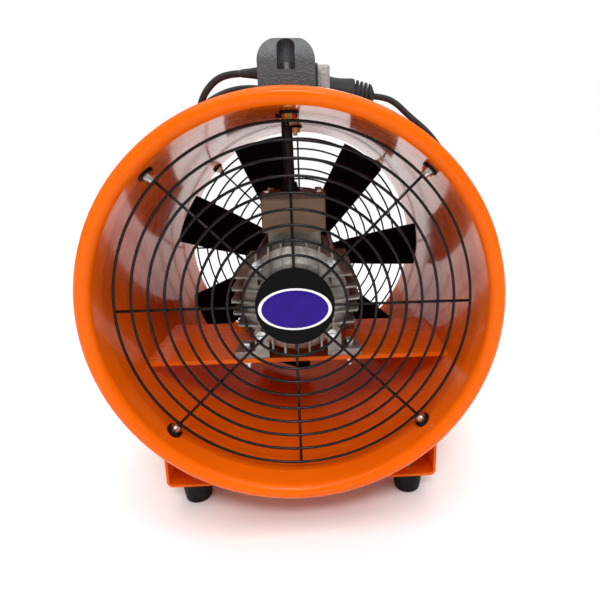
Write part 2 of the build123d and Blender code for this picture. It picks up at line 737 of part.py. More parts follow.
def plug_body():
    """A moulded round plug with a finger collar and a slotted strain relief."""
    length = PLUG_BODY_LENGTH
    end = length + PLUG_RELIEF_LENGTH
    outline = make_face(
        Polyline((0, 0), (PLUG_BODY_RADIUS - 1.5, 0), (PLUG_BODY_RADIUS, 1.5))
        + Line((PLUG_BODY_RADIUS, 1.5), (PLUG_BODY_RADIUS, 12))
        + Spline(
            (PLUG_BODY_RADIUS, 12), (13.4, 20), (12.2, length),
            tangents=((0, 1), (0, 1)),
        )
        + Polyline((12.2, length), (12.8, length + 2), (10.4, end - 5), (4.6, end), (0, end), (0, 0))
    )
    body = revolve(Rot(90, 0, 0) * outline, Axis.Z)
    for step in range(4):
        low = length + 1.5 + 4.0 * step
        core = 8.5 - 0.8 * step
        body -= post(14, 0, 0, low, low + 1.8) - post(core, 0, 0, low, low + 1.8)
    body -= post(CORD_RADIUS, 0, 0, end - 4, end)
    return plug_place() * body


def plug_pins():
    pins = []
    for side in (-1, 1):
        pin = post(2.4, 0, side * 9.5, -19, 0)
        pins.append(plug_place() * fillet(pin.edges().sort_by(Axis.Z)[0], 1.2))
    return pins


def draped(angle, depth, radius=166.0):
    """A point over the barrel: angle to the right of the top, depth, and radius."""
    return (radius * sin(radians(angle)), depth, radius * cos(radians(angle)))


def cord_route():
    """The cord hangs in loose loops over both sides of the barrel, through the handle."""
    plug_tail = plug_place() * Pos(0, 0, PLUG_BODY_LENGTH + PLUG_RELIEF_LENGTH - 4)
    tail = plug_tail.position
    before_tail = (plug_tail * Pos(0, 0, 12)).position
    leaving_plug = (plug_tail * Pos(4, 0, 24)).position
    exit_x, exit_depth, exit_height = CORD_EXIT
    relief_tip = (exit_x - RELIEF_LENGTH + 4, exit_depth, exit_height)
    return [
        relief_tip,
        (exit_x - 25, exit_depth, exit_height),
        (-60.5, 67, 185.5),
        (-72, 70, 174),
        (-80, 80, 158),
        (-87, 99, 148),
        draped(-32, 128),
        draped(-27, 153),
        draped(-18, 165),
        draped(-6, 169),
        draped(7, 168),
        draped(21, 166),
        draped(38, 167),
        draped(55, 168),
        draped(61.5, 135),
        draped(55, 102),
        draped(39, 103),
        draped(26, 121),
        draped(13, 134),
        draped(-1, 140),
        draped(-13, 146, 170),
        draped(-23, 152, 176),
        draped(-36, 159, 173),
        draped(-52.5, 160, 168),
        draped(-59, 127),
        draped(-52.5, 94, 168),
        (-109, 97, 140),
        (-87, 105, 165),
        (-63, 112, 182),
        (-38, 117, 187),
        (-13, 121, 183),
        (12, 127, 179),
        (38, 136, 176),
        draped(22, 147, 177),
        draped(35, 152, 174),
        draped(48, 161, 175),
        draped(63, 163, 174),
        draped(69.5, 130, 167),
        draped(63, 97, 169),
        (147, 98, 115),
        (130, 100, 141),
        (109, 102, 158),
        leaving_plug,
        before_tail,
        tail,
    ]


def corner_radii(points):
    """For each corner, 0.45 of its shorter run over the tangent of half its turn."""
    radii = []
    for before, corner, after in zip(points, points[1:], points[2:]):
        into = Vector(corner) - Vector(before)
        out = Vector(after) - Vector(corner)
        half_turn = radians(into.get_angle(out)) / 2
        radii.append(0.45 * min(into.length, out.length) / tan(half_turn))
    return radii


def cord():
    points = cord_route()
    radii = corner_radii(points)
    path = FilletPolyline(*points, radius=radii)
    start = Plane(points[0], z_dir=Vector(points[1]) - Vector(points[0]))
    tube = sweep(start * Circle(CORD_RADIUS), path)
    length = path.length
    share = tube.volume / (pi * CORD_RADIUS**2 * length)
    print(f"cord length {length:.0f} mm, tightest {min(radii):.1f} mm, volume share {share:.4f}")
    print("cord radii", [round(radius) for radius in radii])
    return tube


def bearing_pieces(front):
    """The two rings, the cage and the balls of one deep-groove bearing."""
    back = front + BEARING_WIDTH
    middle = (front + back) / 2
    groove = Pos(0, middle, 0) * Rot(90, 0, 0) * Torus(BALL_CIRCLE, RACE_RADIUS)
    outer = sleeve(BEARING_OUTER, 13.0, front, back) - groove
    inner = sleeve(9.0, BEARING_BORE, front, back) - groove
    cage = sleeve(11.9, 10.1, middle - 3.6, middle + 3.6)
    balls = []
    for step in range(BALL_COUNT):
        turn = Rot(0, 360 / BALL_COUNT * step, 0)
        cage -= turn * post(BALL_RADIUS + 0.06, 0, middle, BALL_CIRCLE - 3, BALL_CIRCLE + 3)
        balls.append(turn * Pos(0, middle, BALL_CIRCLE) * Sphere(BALL_RADIUS))
    return outer, inner, cage, balls


def rotor_shaft():
    front_end = BEARING_DEPTHS["front"] + 0.3
    step = BEARING_DEPTHS["rear"] + BEARING_WIDTH + 3
    shaft = disc(BEARING_BORE, front_end, step) + disc(SHAFT_OUTPUT, step, HUB_BACK - 1)
    shaft += disc(8.0, BEARING_DEPTHS["front"] + BEARING_WIDTH, CORE_FRONT - 2)
    shaft += disc(8.0, CORE_BACK + 2, BEARING_DEPTHS["rear"])
    shaft -= disc(2.5, HUB_BACK - 20, HUB_BACK)
    return shaft - block(-2, 2, HUB_FRONT, HUB_BACK, SHAFT_OUTPUT - 2.5, SHAFT_OUTPUT + 2)


def rotor_core():
    """The squirrel cage: laminations between two cast end rings."""
    core = disc(ROTOR_CORE, CORE_FRONT, CORE_BACK)
    core += sleeve(ROTOR_CORE - 3, 14, CORE_FRONT - 5, CORE_FRONT)
    core += sleeve(ROTOR_CORE - 3, 14, CORE_BACK, CORE_BACK + 5)
    return core - disc(BEARING_BORE, 0, LENGTH)


def shaft_key():
    return block(-1.95, 1.95, HUB_FRONT + 2, HUB_BACK - 4, SHAFT_OUTPUT - 2.5, SHAFT_OUTPUT + 1.8)


def impeller_hub():
    """A shallow cup with a thick boss on the shaft and a rim that carries the blades."""
    hub = sleeve(HUB_OUTER, HUB_OUTER - 3, HUB_FRONT, HUB_BACK)
    hub += disc(HUB_OUTER, HUB_FRONT, HUB_FRONT + 4)
    hub += disc(13, HUB_FRONT, HUB_BACK - 1)
    for step in range(BLADES):
        rib = block(-1.5, 1.5, HUB_FRONT, HUB_BACK - 12, 10, HUB_OUTER - 1)
        hub += Rot(0, 360 / BLADES * step, 0) * rib
    hub -= disc(SHAFT_OUTPUT, 0, LENGTH)
    return hub - block(-2, 2, 0, LENGTH, 0, SHAFT_OUTPUT + 2)


def blade_section(radius, chord, pitch, thickness):
    """A flat blade section square to the radius; pitch is its lean from the plane of rotation."""
    plane = Plane(origin=(0, BLADE_DEPTH, radius), x_dir=(1, 0, 0), z_dir=(0, 0, 1))
    return plane * (Rot(0, 0, pitch) * RectangleRounded(chord, thickness, thickness / 2.2))


def impeller_blade():
    """A twisted sheet that widens outwards, with its tip trimmed to the swept circle."""
    sections = [
        blade_section(40, 36, 36, 3.2),
        blade_section(70, 45, 31, 2.8),
        blade_section(110, 55, 26, 2.4),
        blade_section(153, 63, 23, 2.0),
    ]
    blade = loft(sections)
    return (blade & disc(BLADE_TIP, 0, LENGTH)) - disc(HUB_OUTER, 0, LENGTH)


def impeller_blades():
    blade = impeller_blade()
    return [radial(blade, BLADE_FIRST_ANGLE + 360 / BLADES * step) for step in range(BLADES)]


def impeller_washer():
    return sleeve(11, 2.6, HUB_BACK - 1, HUB_BACK + 1)


def impeller_bolt():
    head = Pos(0, HUB_BACK + 1, 0) * Rot(-90, 0, 0) * hexagon(4.2, 0, 4)
    return head + disc(2.45, HUB_BACK - 17, HUB_BACK + 1)


def main():
    os.makedirs("parts", exist_ok=True)
    save("barrel", barrel())
    bracket = base_bracket()
    save("front_base_bracket", bracket)
    save("rear_base_bracket", mirrored_depth(bracket))
    save("rubber_feet", *[place * rubber_foot() for place in foot_places()])
    save("foot_screws", *[place * foot_screw() for place in foot_places()])
    save("foot_nuts", *[place * foot_nut() for place in foot_places()])
    guard = wire_guard()
    save("front_guard", guard)
    save("rear_guard", mirrored_depth(guard))
    save("front_guard_disc", guard_disc())
    save("rear_guard_disc", mirrored_depth(guard_disc()))
    border, field = badge()
    save("badge_border", border)
    save("badge_field", field)
    save("guard_bolts", *fixings(fixing_bolt()))
    save("guard_washers", *[ring & disc(WALL_INNER, 0, LENGTH) for ring in fixings(fixing_washer())])
    save("guard_nuts", *fixings(fixing_nut()))
    save("guard_sleeves", *fixings(fixing_sleeve()))
    save("motor_shelf", motor_shelf())
    save("motor_frame", motor_frame())
    save("motor_front_shield", front_shield())
    save("motor_rear_shield", rear_shield())
    save("shield_screws", *shield_screws())
    save("motor_foot_bolts", *motor_foot_bolts())
    save("motor_foot_nuts", *motor_foot_nuts())
    save("stator_core", stator_core())
    save("stator_windings", *stator_windings())
    save("terminal_box", terminal_box())
    save("terminal_lid", terminal_lid())
    save("terminal_lid_screws", *lid_screws())
    save("terminal_block", terminal_block())
    save("run_capacitor", run_capacitor())
    save("terminal_gland", terminal_gland())
    save("motor_lead", motor_lead())
    save("lead_grommet", lead_grommet())
    save("handle_left", handle_half(-1))
    save("handle_right", handle_half(1))
    save("handle_screws", *handle_screws())
    save("handle_bolts", *handle_bolts())
    save("handle_nuts", *handle_nuts())
    save("handle_washers", *handle_washers())
    save("switch_body", switch_body())
    save("switch_rocker", switch_rocker())
    save("switch_cover", switch_cover())
    save("cord_relief", cord_relief())
    save("cord", cord())
    save("plug_body", plug_body())
    save("plug_pins", *plug_pins())
    outers, inners = [], []
    for end, front in BEARING_DEPTHS.items():
        outer, inner, cage, balls = bearing_pieces(front)
        outers.append(outer)
        inners.append(inner)
        save(f"{end}_bearing_cage", cage)
        save(f"{end}_bearing_balls", *balls)
    save("bearing_outer_rings", *outers)
    save("bearing_inner_rings", *inners)
    save("rotor_shaft", rotor_shaft())
    save("rotor_core", rotor_core())
    save("shaft_key", shaft_key())
    save("impeller_hub", impeller_hub())
    save("impeller_blades", *impeller_blades())
    save("impeller_washer", impeller_washer())
    save("impeller_bolt", impeller_bolt())
    print(len(NODES), "nodes")


if __name__ == "__main__":
    main()
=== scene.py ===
"""Looks for the portable axial fan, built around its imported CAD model. Blender 4.5, metres."""

import json
import math

import bmesh
import bpy
from mathutils import Matrix, Vector


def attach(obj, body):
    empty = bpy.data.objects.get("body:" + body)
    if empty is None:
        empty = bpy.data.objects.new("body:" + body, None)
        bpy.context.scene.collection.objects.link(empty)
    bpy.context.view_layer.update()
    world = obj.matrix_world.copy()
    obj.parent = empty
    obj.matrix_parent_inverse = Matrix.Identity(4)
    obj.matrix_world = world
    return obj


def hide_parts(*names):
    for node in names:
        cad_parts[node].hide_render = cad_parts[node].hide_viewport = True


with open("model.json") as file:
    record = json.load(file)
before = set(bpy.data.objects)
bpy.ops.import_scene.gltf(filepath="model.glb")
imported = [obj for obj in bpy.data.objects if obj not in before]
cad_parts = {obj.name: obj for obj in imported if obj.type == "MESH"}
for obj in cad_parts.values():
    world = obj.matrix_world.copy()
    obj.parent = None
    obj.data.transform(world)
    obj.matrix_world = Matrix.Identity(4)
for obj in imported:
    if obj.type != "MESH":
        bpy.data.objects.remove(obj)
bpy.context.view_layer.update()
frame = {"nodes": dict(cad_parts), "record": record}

MM = 0.001
LENGTH = 340.0
AXIS_HEIGHT = 210.0

# Camera: its place in the fan's own frame in millimetres, its turns in radians
CAMERA_PLACE = (16.26, -348.85, 119.32)
CAMERA_PITCH = 0.241
CAMERA_YAW = -0.042
CAMERA_ROLL = -0.020
CAMERA_LENS = 27.81
CAMERA_SHIFT = (-0.0539, -0.0439)

FLOOR_HALF_WIDTH = 6.0  # metres

# Brightness of the room that gloss surfaces mirror
ROOM_WALL = (0.07, 0.065, 0.06)
ROOM_CEILING = (0.6, 0.6, 0.6)

# Sizes and counts shared with the CAD model; lengths in millimetres
GUARD_DEPTH = 24.0
GUARD_RADIUS = 149.0
GUARD_INNERMOST = 44.2
GUARD_RING_SPREAD = 8.0
GUARD_RINGS = 9
GUARD_SPOKES = 8
WIRE = 1.2
SPOKE_OFFSET = 2.2
GUARD_DISC = 33.5
DISC_THICK = 2.0
DISC_OVERLAP = 6.0
CORD_RADIUS = 2.8
RELIEF_LENGTH = 16.0
CORD_EXIT = (-22.5, 66.0, 190.0)
PLUG_FACE = (25.0, 102.0, 178.8)
PLUG_TILT = math.radians(4.0)
PLUG_BODY_LENGTH = 32.0
PLUG_RELIEF_LENGTH = 20.0
CORD_START = PLUG_BODY_LENGTH + PLUG_RELIEF_LENGTH - 4

# Sizes and counts of the finer shapes made here; lengths in millimetres
WELD_RADIUS = 1.7
BADGE_HALF_WIDTH = 31.0
BADGE_HALF_HEIGHT = 18.3
BADGE_DROP = 2.0
BADGE_STEPS = 128
PLUG_SLOTS = 4
PLUG_SLOT_PITCH = 3.9


def place(x, depth, z):
    """A point of the fan's own frame, in millimetres, as a scene point."""
    return Vector((x * MM, (depth - LENGTH / 2) * MM, (z + AXIS_HEIGHT) * MM))


# ---------------------------------------------------------------- camera, light and floor

def make_camera():
    data = bpy.data.cameras.new("camera")
    data.lens = CAMERA_LENS
    data.shift_x, data.shift_y = CAMERA_SHIFT
    data.clip_start = 0.01
    camera = bpy.data.objects.new("camera", data)
    turn = (
        Matrix.Rotation(CAMERA_YAW, 4, "Z")
        @ Matrix.Rotation(math.pi / 2 - CAMERA_PITCH, 4, "X")
        @ Matrix.Rotation(CAMERA_ROLL, 4, "Z")
    )
    camera.matrix_world = Matrix.Translation(place(*CAMERA_PLACE)) @ turn
    bpy.context.collection.objects.link(camera)
    bpy.context.scene.camera = camera


def soft_light(name, position, target, size, power):
    data = bpy.data.lights.new(name, "AREA")
    data.shape = "RECTANGLE"
    data.size, data.size_y = size
    data.energy = power
    light = bpy.data.objects.new(name, data)
    aim = (Vector(target) - Vector(position)).to_track_quat("-Z", "Y")
    light.matrix_world = Matrix.Translation(position) @ aim.to_matrix().to_4x4()
    bpy.context.collection.objects.link(light)


def soft_sun(name, source, spread, strength):
    """Light from a wide patch of sky, so that the whole floor is evenly lit."""
    data = bpy.data.lights.new(name, "SUN")
    data.angle = math.radians(spread)
    data.energy = strength
    light = bpy.data.objects.new(name, data)
    light.matrix_world = (-Vector(source)).to_track_quat("-Z", "Y").to_matrix().to_4x4()
    bpy.context.collection.objects.link(light)


def make_studio():
    """A white backdrop, a dim room for the gloss to mirror, a soft sky and four softboxes."""
    world = bpy.data.worlds.new("studio")
    world.use_nodes = True
    tree = world.node_tree
    room = tree.nodes["Background"]
    room.inputs["Strength"].default_value = 1.0
    direction = tree.nodes.new("ShaderNodeSeparateXYZ")
    tree.links.new(tree.nodes.new("ShaderNodeTexCoord").outputs["Generated"], direction.inputs[0])
    ramp = tree.nodes.new("ShaderNodeValToRGB")
    ramp.color_ramp.elements[0].position = 0.05
    ramp.color_ramp.elements[0].color = (*ROOM_WALL, 1)
    ramp.color_ramp.elements[1].position = 0.85
    ramp.color_ramp.elements[1].color = (*ROOM_CEILING, 1)
    tree.links.new(direction.outputs["Z"], ramp.inputs["Fac"])
    tree.links.new(ramp.outputs["Color"], room.inputs["Color"])
    backdrop = tree.nodes.new("ShaderNodeBackground")
    backdrop.inputs["Color"].default_value = (1, 1, 1, 1)
    seen = tree.nodes.new("ShaderNodeLightPath").outputs["Is Camera Ray"]
    choose = tree.nodes.new("ShaderNodeMixShader")
    tree.links.new(seen, choose.inputs["Fac"])
    tree.links.new(room.outputs[0], choose.inputs[1])
    tree.links.new(backdrop.outputs[0], choose.inputs[2])
    tree.links.new(choose.outputs[0], tree.nodes["World Output"].inputs["Surface"])
    bpy.context.scene.world = world
    bpy.context.scene.view_settings.view_transform = "Standard"
    soft_sun("sky", (0.0, -0.15, 1.0), 70, 2.15)
    soft_light("key", (0.0, -1.5, 1.65), (0, 0, 0.2), (0.5, 0.35), 14)
    soft_light("fill_left", (-1.5, -1.2, 0.7), (0, 0, 0.2), (0.4, 0.5), 1.5)
    soft_light("fill_right", (1.5, -1.2, 0.7), (0, 0, 0.2), (0.4, 0.5), 1.5)
    soft_light("back", (0.3, 2.0, 1.5), (0, 0, 0.3), (0.8, 0.5), 4)
    mesh = bpy.data.meshes.new("floor")
    half = FLOOR_HALF_WIDTH
    mesh.from_pydata(
        [(-half, -half, 0), (half, -half, 0), (half, half, 0), (-half, half, 0)], [], [(0, 1, 2, 3)]
    )
    floor = bpy.data.objects.new("floor", mesh)
    bpy.context.collection.objects.link(floor)
    floor.data.materials.append(floor_material())


# ---------------------------------------------------------------- material helpers

class Nodes:
    """A short way to lay out a material's node tree."""

    def __init__(self, name):
        self.material = bpy.data.materials.new(name)
        self.material.use_nodes = True
        self.tree = self.material.node_tree
        self.shader = self.tree.nodes["Principled BSDF"]
        self.position = self.add("ShaderNodeTexCoord").outputs["Object"]

    def add(self, kind, **settings):
        node = self.tree.nodes.new(kind)
        for key, value in settings.items():
            setattr(node, key, value)
        return node

    def link(self, source, target):
        self.tree.links.new(source, target)

    def set(self, **values):
        """Sets the shader's own sockets, named with underscores for spaces."""
        for key, value in values.items():
            self.shader.inputs[key.replace("_", " ")].default_value = value

    def noise(self, scale, detail=3.0, roughness=0.5, stretch=None):
        """Noise over the object's own coordinates; scale is in features per metre."""
        node = self.add("ShaderNodeTexNoise")
        node.inputs["Scale"].default_value = scale
        node.inputs["Detail"].default_value = detail
        node.inputs["Roughness"].default_value = roughness
        source = self.position
        if stretch:
            mapping = self.add("ShaderNodeMapping")
            mapping.inputs["Scale"].default_value = stretch
            self.link(self.position, mapping.inputs["Vector"])
            source = mapping.outputs["Vector"]
        self.link(source, node.inputs["Vector"])
        return node.outputs["Fac"]

    def cells(self, scale, feature="F1"):
        node = self.add("ShaderNodeTexVoronoi", feature=feature)
        node.inputs["Scale"].default_value = scale
        self.link(self.position, node.inputs["Vector"])
        return node.outputs["Distance"]

    def ramp(self, source, stops):
        """A colour ramp; stops are (position, colour or grey)."""
        node = self.add("ShaderNodeValToRGB")
        elements = node.color_ramp.elements
        while len(elements) < len(stops):
            elements.new(0.5)
        for element, (position, color) in zip(elements, stops):
            element.position = position
            element.color = (*color, 1) if isinstance(color, tuple) else (color, color, color, 1)
        self.link(source, node.inputs["Fac"])
        return node.outputs["Color"]

    def mix(self, factor, first, second):
        node = self.add("ShaderNodeMix", data_type="RGBA")
        for socket, value in (("Factor", factor), ("A", first), ("B", second)):
            target = [i for i in node.inputs if i.name == socket and i.enabled][0]
            if hasattr(value, "is_output"):
                self.link(value, target)
            elif isinstance(value, tuple):
                target.default_value = (*value, 1)
            else:
                target.default_value = value
        return [o for o in node.outputs if o.enabled][0]

    def bump(self, height, strength, distance, after=None):
        node = self.add("ShaderNodeBump")
        node.inputs["Strength"].default_value = strength
        node.inputs["Distance"].default_value = distance
        self.link(height, node.inputs["Height"])
        if after:
            self.link(after, node.inputs["Normal"])
        return node.outputs["Normal"]

    def color(self, source):
        self.link(source, self.shader.inputs["Base Color"])

    def rough(self, source):
        self.link(source, self.shader.inputs["Roughness"])

    def normal(self, source):
        self.link(source, self.shader.inputs["Normal"])


def floor_material():
    m = Nodes("floor")
    grain = m.noise(40, 4)
    m.color(m.ramp(grain, [(0.3, (0.96, 0.96, 0.96)), (0.7, (0.98, 0.98, 0.98))]))
    m.set(Roughness=0.6)
    return m.material


def enamel(name, color, deep, dust):
    """Gloss enamel on sheet steel: faint mottling, gentle waves, smears and dust."""
    m = Nodes(name)
    cloud = m.noise(7, 3)
    tone = m.mix(m.ramp(cloud, [(0.35, 0.0), (0.7, 1.0)]), color, deep)
    specks = m.ramp(m.noise(260, 6, 0.7), [(0.66, 0.0), (0.74, 0.3)])
    m.color(m.mix(specks, tone, dust))
    smear = m.noise(18, 5, 0.6, (1, 4, 1))
    m.rough(m.ramp(smear, [(0.35, 0.22), (0.75, 0.32)]))
    m.normal(m.bump(m.noise(55, 2), 0.03, 0.0003))
    m.set(Specular_IOR_Level=0.06, Coat_Weight=0.8, Coat_Roughness=0.08, Coat_IOR=1.15)
    return m.material


def dipped_wire(name):
    """Thick black dip coat with runs and a few dust specks."""
    m = Nodes(name)
    specks = m.ramp(m.noise(900, 4, 0.6), [(0.62, 0.0), (0.72, 0.3)])
    m.color(m.mix(specks, (0.004, 0.004, 0.004), (0.03, 0.028, 0.025)))
    m.rough(m.ramp(m.noise(120, 3), [(0.3, 0.16), (0.7, 0.34)]))
    m.normal(m.bump(m.noise(260, 3), 0.25, 0.0008))
    m.set(Specular_IOR_Level=0.16, Coat_Weight=0.12, Coat_Roughness=0.1)
    return m.material


def cast_metal(name, light, dark, metallic=0.75):
    """Die-cast aluminium: fine pitted skin, grey mottling and grime."""
    m = Nodes(name)
    mottle = m.noise(55, 6, 0.65)
    skin = m.mix(m.ramp(mottle, [(0.35, 0.0), (0.68, 1.0)]), dark, light)
    grime = m.ramp(m.noise(19, 5, 0.7), [(0.52, 0.0), (0.75, 0.7)])
    m.color(m.mix(grime, skin, tuple(c * 0.45 for c in dark)))
    m.rough(m.ramp(m.noise(160, 4), [(0.3, 0.34), (0.75, 0.58)]))
    fine = m.bump(m.noise(1500, 4, 0.6), 0.35, 0.0004)
    m.normal(m.bump(m.cells(420), 0.18, 0.0006, fine))
    m.set(Metallic=metallic)
    return m.material


def plated(name, light, dark, direction=(1, 1, 30)):
    """Zinc or nickel plate with brush lines and dull spots."""
    m = Nodes(name)
    lines = m.noise(500, 4, 0.6, direction)
    m.color(m.mix(m.ramp(m.noise(240, 4), [(0.4, 0.0), (0.7, 1.0)]), light, dark))
    m.rough(m.ramp(lines, [(0.3, 0.16), (0.75, 0.36)]))
    m.normal(m.bump(lines, 0.12, 0.0002))
    m.set(Metallic=1.0)
    return m.material


def moulded(
    name, color, pale, roughness=(0.42, 0.6), grain=900, depth=0.0004, strength=0.5, gloss=0.5
):
    """Moulded plastic with a spark-eroded grain and scuffs."""
    m = Nodes(name)
    scuffs = m.ramp(m.noise(48, 8, 0.75), [(0.58, 0.0), (0.78, 0.55)])
    m.color(m.mix(scuffs, color, pale))
    m.rough(m.ramp(m.noise(150, 4), [(0.3, roughness[0]), (0.7, roughness[1])]))
    m.normal(m.bump(m.noise(grain, 3, 0.55), strength, depth))
    m.set(Specular_IOR_Level=gloss)
    return m.material


def soft_rubber(name, color=(0.004, 0.004, 0.004), pale=(0.018, 0.017, 0.016), grain=700):
    """Matte rubber or PVC with bloom and dust in its skin."""
    m = Nodes(name)
    bloom = m.ramp(m.noise(70, 6, 0.7), [(0.48, 0.0), (0.8, 0.8)])
    m.color(m.mix(bloom, color, pale))
    m.rough(m.ramp(m.noise(200, 3), [(0.3, 0.45), (0.7, 0.68)]))
    m.normal(m.bump(m.noise(grain, 3), 0.3, 0.0004))
    m.set(Specular_IOR_Level=0.15)
    return m.material


def printed(name, color, deep):
    """A printed foil under a clear lacquer."""
    m = Nodes(name)
    m.color(m.mix(m.ramp(m.noise(90, 5), [(0.35, 0.0), (0.75, 1.0)]), color, deep))
    m.rough(m.ramp(m.noise(60, 4), [(0.3, 0.28), (0.7, 0.42)]))
    m.normal(m.bump(m.noise(900, 2), 0.08, 0.0002))
    m.set(Specular_IOR_Level=0.12, Coat_Weight=0.05, Coat_Roughness=0.15)
    return m.material


def clear_plastic(name):
    """Milky clear PVC, a little yellow, with scuffs."""
    m = Nodes(name)
    m.color(m.ramp(m.noise(60, 5, 0.6), [(0.3, (0.86, 0.87, 0.86)), (0.75, (0.96, 0.96, 0.95))]))
    m.rough(m.ramp(m.noise(110, 5, 0.7), [(0.35, 0.12), (0.7, 0.34)]))
    m.normal(m.bump(m.noise(220, 3), 0.25, 0.0006))
    m.set(Transmission_Weight=0.75, IOR=1.35)
    return m.material


def laminated(name):
    """Stacked electrical steel."""
    m = Nodes(name)
    wave = m.add("ShaderNodeTexWave", bands_direction="Y")
    wave.inputs["Scale"].default_value = 320
    m.link(m.position, wave.inputs["Vector"])
    sheets = wave.outputs["Fac"]
    m.color(m.ramp(sheets, [(0.2, (0.10, 0.10, 0.11)), (0.8, (0.34, 0.34, 0.36))]))
    m.rough(m.ramp(m.noise(90, 3), [(0.3, 0.35), (0.7, 0.5)]))
    m.normal(m.bump(sheets, 0.3, 0.0002))
    m.set(Metallic=0.8)
    return m.material


def wound_copper(name):
    """Enamelled copper wire laid in a bundle."""
    m = Nodes(name)
    wave = m.add("ShaderNodeTexWave", bands_direction="DIAGONAL")
    wave.inputs["Scale"].default_value = 260
    wave.inputs["Distortion"].default_value = 6
    m.link(m.position, wave.inputs["Vector"])
    m.color(m.ramp(wave.outputs["Fac"], [(0.1, (0.16, 0.05, 0.02)), (0.8, (0.62, 0.26, 0.10))]))
    m.rough(m.ramp(m.noise(200, 3), [(0.3, 0.25), (0.7, 0.4)]))
    m.normal(m.bump(wave.outputs["Fac"], 0.6, 0.0006))
    m.set(Metallic=0.7)
    return m.material


def make_materials():
    orange = ((0.86, 0.135, 0.0015), (0.78, 0.11, 0.001), (0.86, 0.26, 0.06))
    return {
        "orange_sheet": enamel("orange_sheet", *orange),
        "shelf_steel": enamel("shelf_steel", *orange),
        "black_wire": dipped_wire("black_wire"),
        "black_plate": moulded(
            "black_plate", (0.004, 0.004, 0.004), (0.02, 0.02, 0.02), (0.25, 0.4), gloss=0.05
        ),
        "badge_white": printed("badge_white", (0.88, 0.88, 0.88), (0.78, 0.78, 0.79)),
        "badge_blue": printed("badge_blue", (0.024, 0.004, 0.225), (0.018, 0.003, 0.18)),
        "motor_grey": cast_metal("motor_grey", (0.44, 0.41, 0.37), (0.22, 0.20, 0.175)),
        "core_steel": laminated("core_steel"),
        "copper": wound_copper("copper"),
        "zinc": plated("zinc", (0.78, 0.78, 0.77), (0.48, 0.47, 0.45)),
        "yellow_zinc": plated("yellow_zinc", (0.80, 0.52, 0.18), (0.5, 0.28, 0.08)),
        # Terminal box: its own grey-brown, pushed further to orange-brown by a painted reflection of
        # the orange barrel in its colour
        "box_grey": moulded("box_grey", (0.17, 0.105, 0.06), (0.26, 0.19, 0.12), grain=600),
        # Terminal lid: a darker, redder copy of the box's brown, a painted reflection put into its
        # colour
        "lid_with_painted_reflection": moulded("lid_with_painted_reflection", (0.06, 0.03, 0.02), (0.12, 0.07, 0.05), grain=600),
        "dark_plastic": moulded("dark_plastic", (0.012, 0.012, 0.013), (0.05, 0.05, 0.05)),
        "handle_plastic": moulded(
            "handle_plastic", (0.07, 0.073, 0.078), (0.14, 0.145, 0.15), (0.3, 0.46), 620, 0.0009, 0.8
        ),
        "black_rubber": soft_rubber("black_rubber"),
        "clear_cover": clear_plastic("clear_cover"),
        "bearing_steel": plated("bearing_steel", (0.82, 0.82, 0.83), (0.6, 0.6, 0.62), (1, 30, 1)),
        "impeller_black": moulded(
            "impeller_black", (0.002, 0.002, 0.002), (0.008, 0.007, 0.006), (0.45, 0.6), 500, gloss=0.08
        ),
        "can_alu": plated("can_alu", (0.8, 0.8, 0.8), (0.6, 0.6, 0.6), (30, 1, 1)),
        "nickel_pins": plated("nickel_pins", (0.78, 0.74, 0.66), (0.55, 0.5, 0.42)),
        "cord_pvc": soft_rubber("cord_pvc", (0.03, 0.03, 0.031), (0.07, 0.07, 0.07), 1200),
    }


# CAD nodes whose look differs from the others in their slot; the terminal lid gets a darker, redder
# copy of the box's brown as a painted reflection
OWN_MATERIAL = {"terminal_lid": "lid_with_painted_reflection"}


def dress_cad_nodes(materials):
    """Gives each carried-over CAD node its slot's material."""
    slot_of = {row["node"]: row["material_slot"] for row in frame["record"]["subparts"]}
    for name, node in frame["nodes"].items():
        for slot in node.material_slots:
            slot.material = materials[OWN_MATERIAL.get(name, slot_of[name])]


# ---------------------------------------------------------------- mesh helpers

def new_piece(name, mesh, material, body, smooth_angle=40):
    piece = bpy.data.objects.new(name, mesh)
    bpy.context.collection.objects.link(piece)
    mesh.materials.clear()
    mesh.materials.append(material)
    for polygon in mesh.polygons:
        polygon.use_smooth = True
    mesh.set_sharp_from_angle(angle=math.radians(smooth_angle))
    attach(piece, body)
    return piece


def mesh_from(bm, name):
    mesh = bpy.data.meshes.new(name)
    bmesh.ops.recalc_face_normals(bm, faces=bm.faces)
    bm.to_mesh(mesh)
    bm.free()
    return mesh


def lathe(bm, profile, matrix, steps=96):
    """Turns (radius, height) points about local Z; a zero radius closes an end in one point."""
    rows = []
    for radius, height in profile:
        if radius < 1e-9:
            rows.append([bm.verts.new(matrix @ Vector((0, 0, height)))])
            continue
        row = []
        for step in range(steps):
            angle = 2 * math.pi * step / steps
            row.append(bm.verts.new(
                matrix @ Vector((radius * math.cos(angle), radius * math.sin(angle), height))
            ))
        rows.append(row)
    for lower, upper in zip(rows, rows[1:]):
        for step in range(steps):
            after = (step + 1) % steps
            corners = [
                lower[step % len(lower)], lower[after % len(lower)],
                upper[after % len(upper)], upper[step % len(upper)],
            ]
            corners = list(dict.fromkeys(corners))
            if len(corners) > 2:
                bm.faces.new(corners)


def along_axis(depth):
    """Local Z looks back along the fan's axis, from the given depth."""
    return Matrix.Translation(place(0, depth, 0)) @ Matrix.Rotation(-math.pi / 2, 4, "X") @ (
        Matrix.Scale(MM, 4)
    )


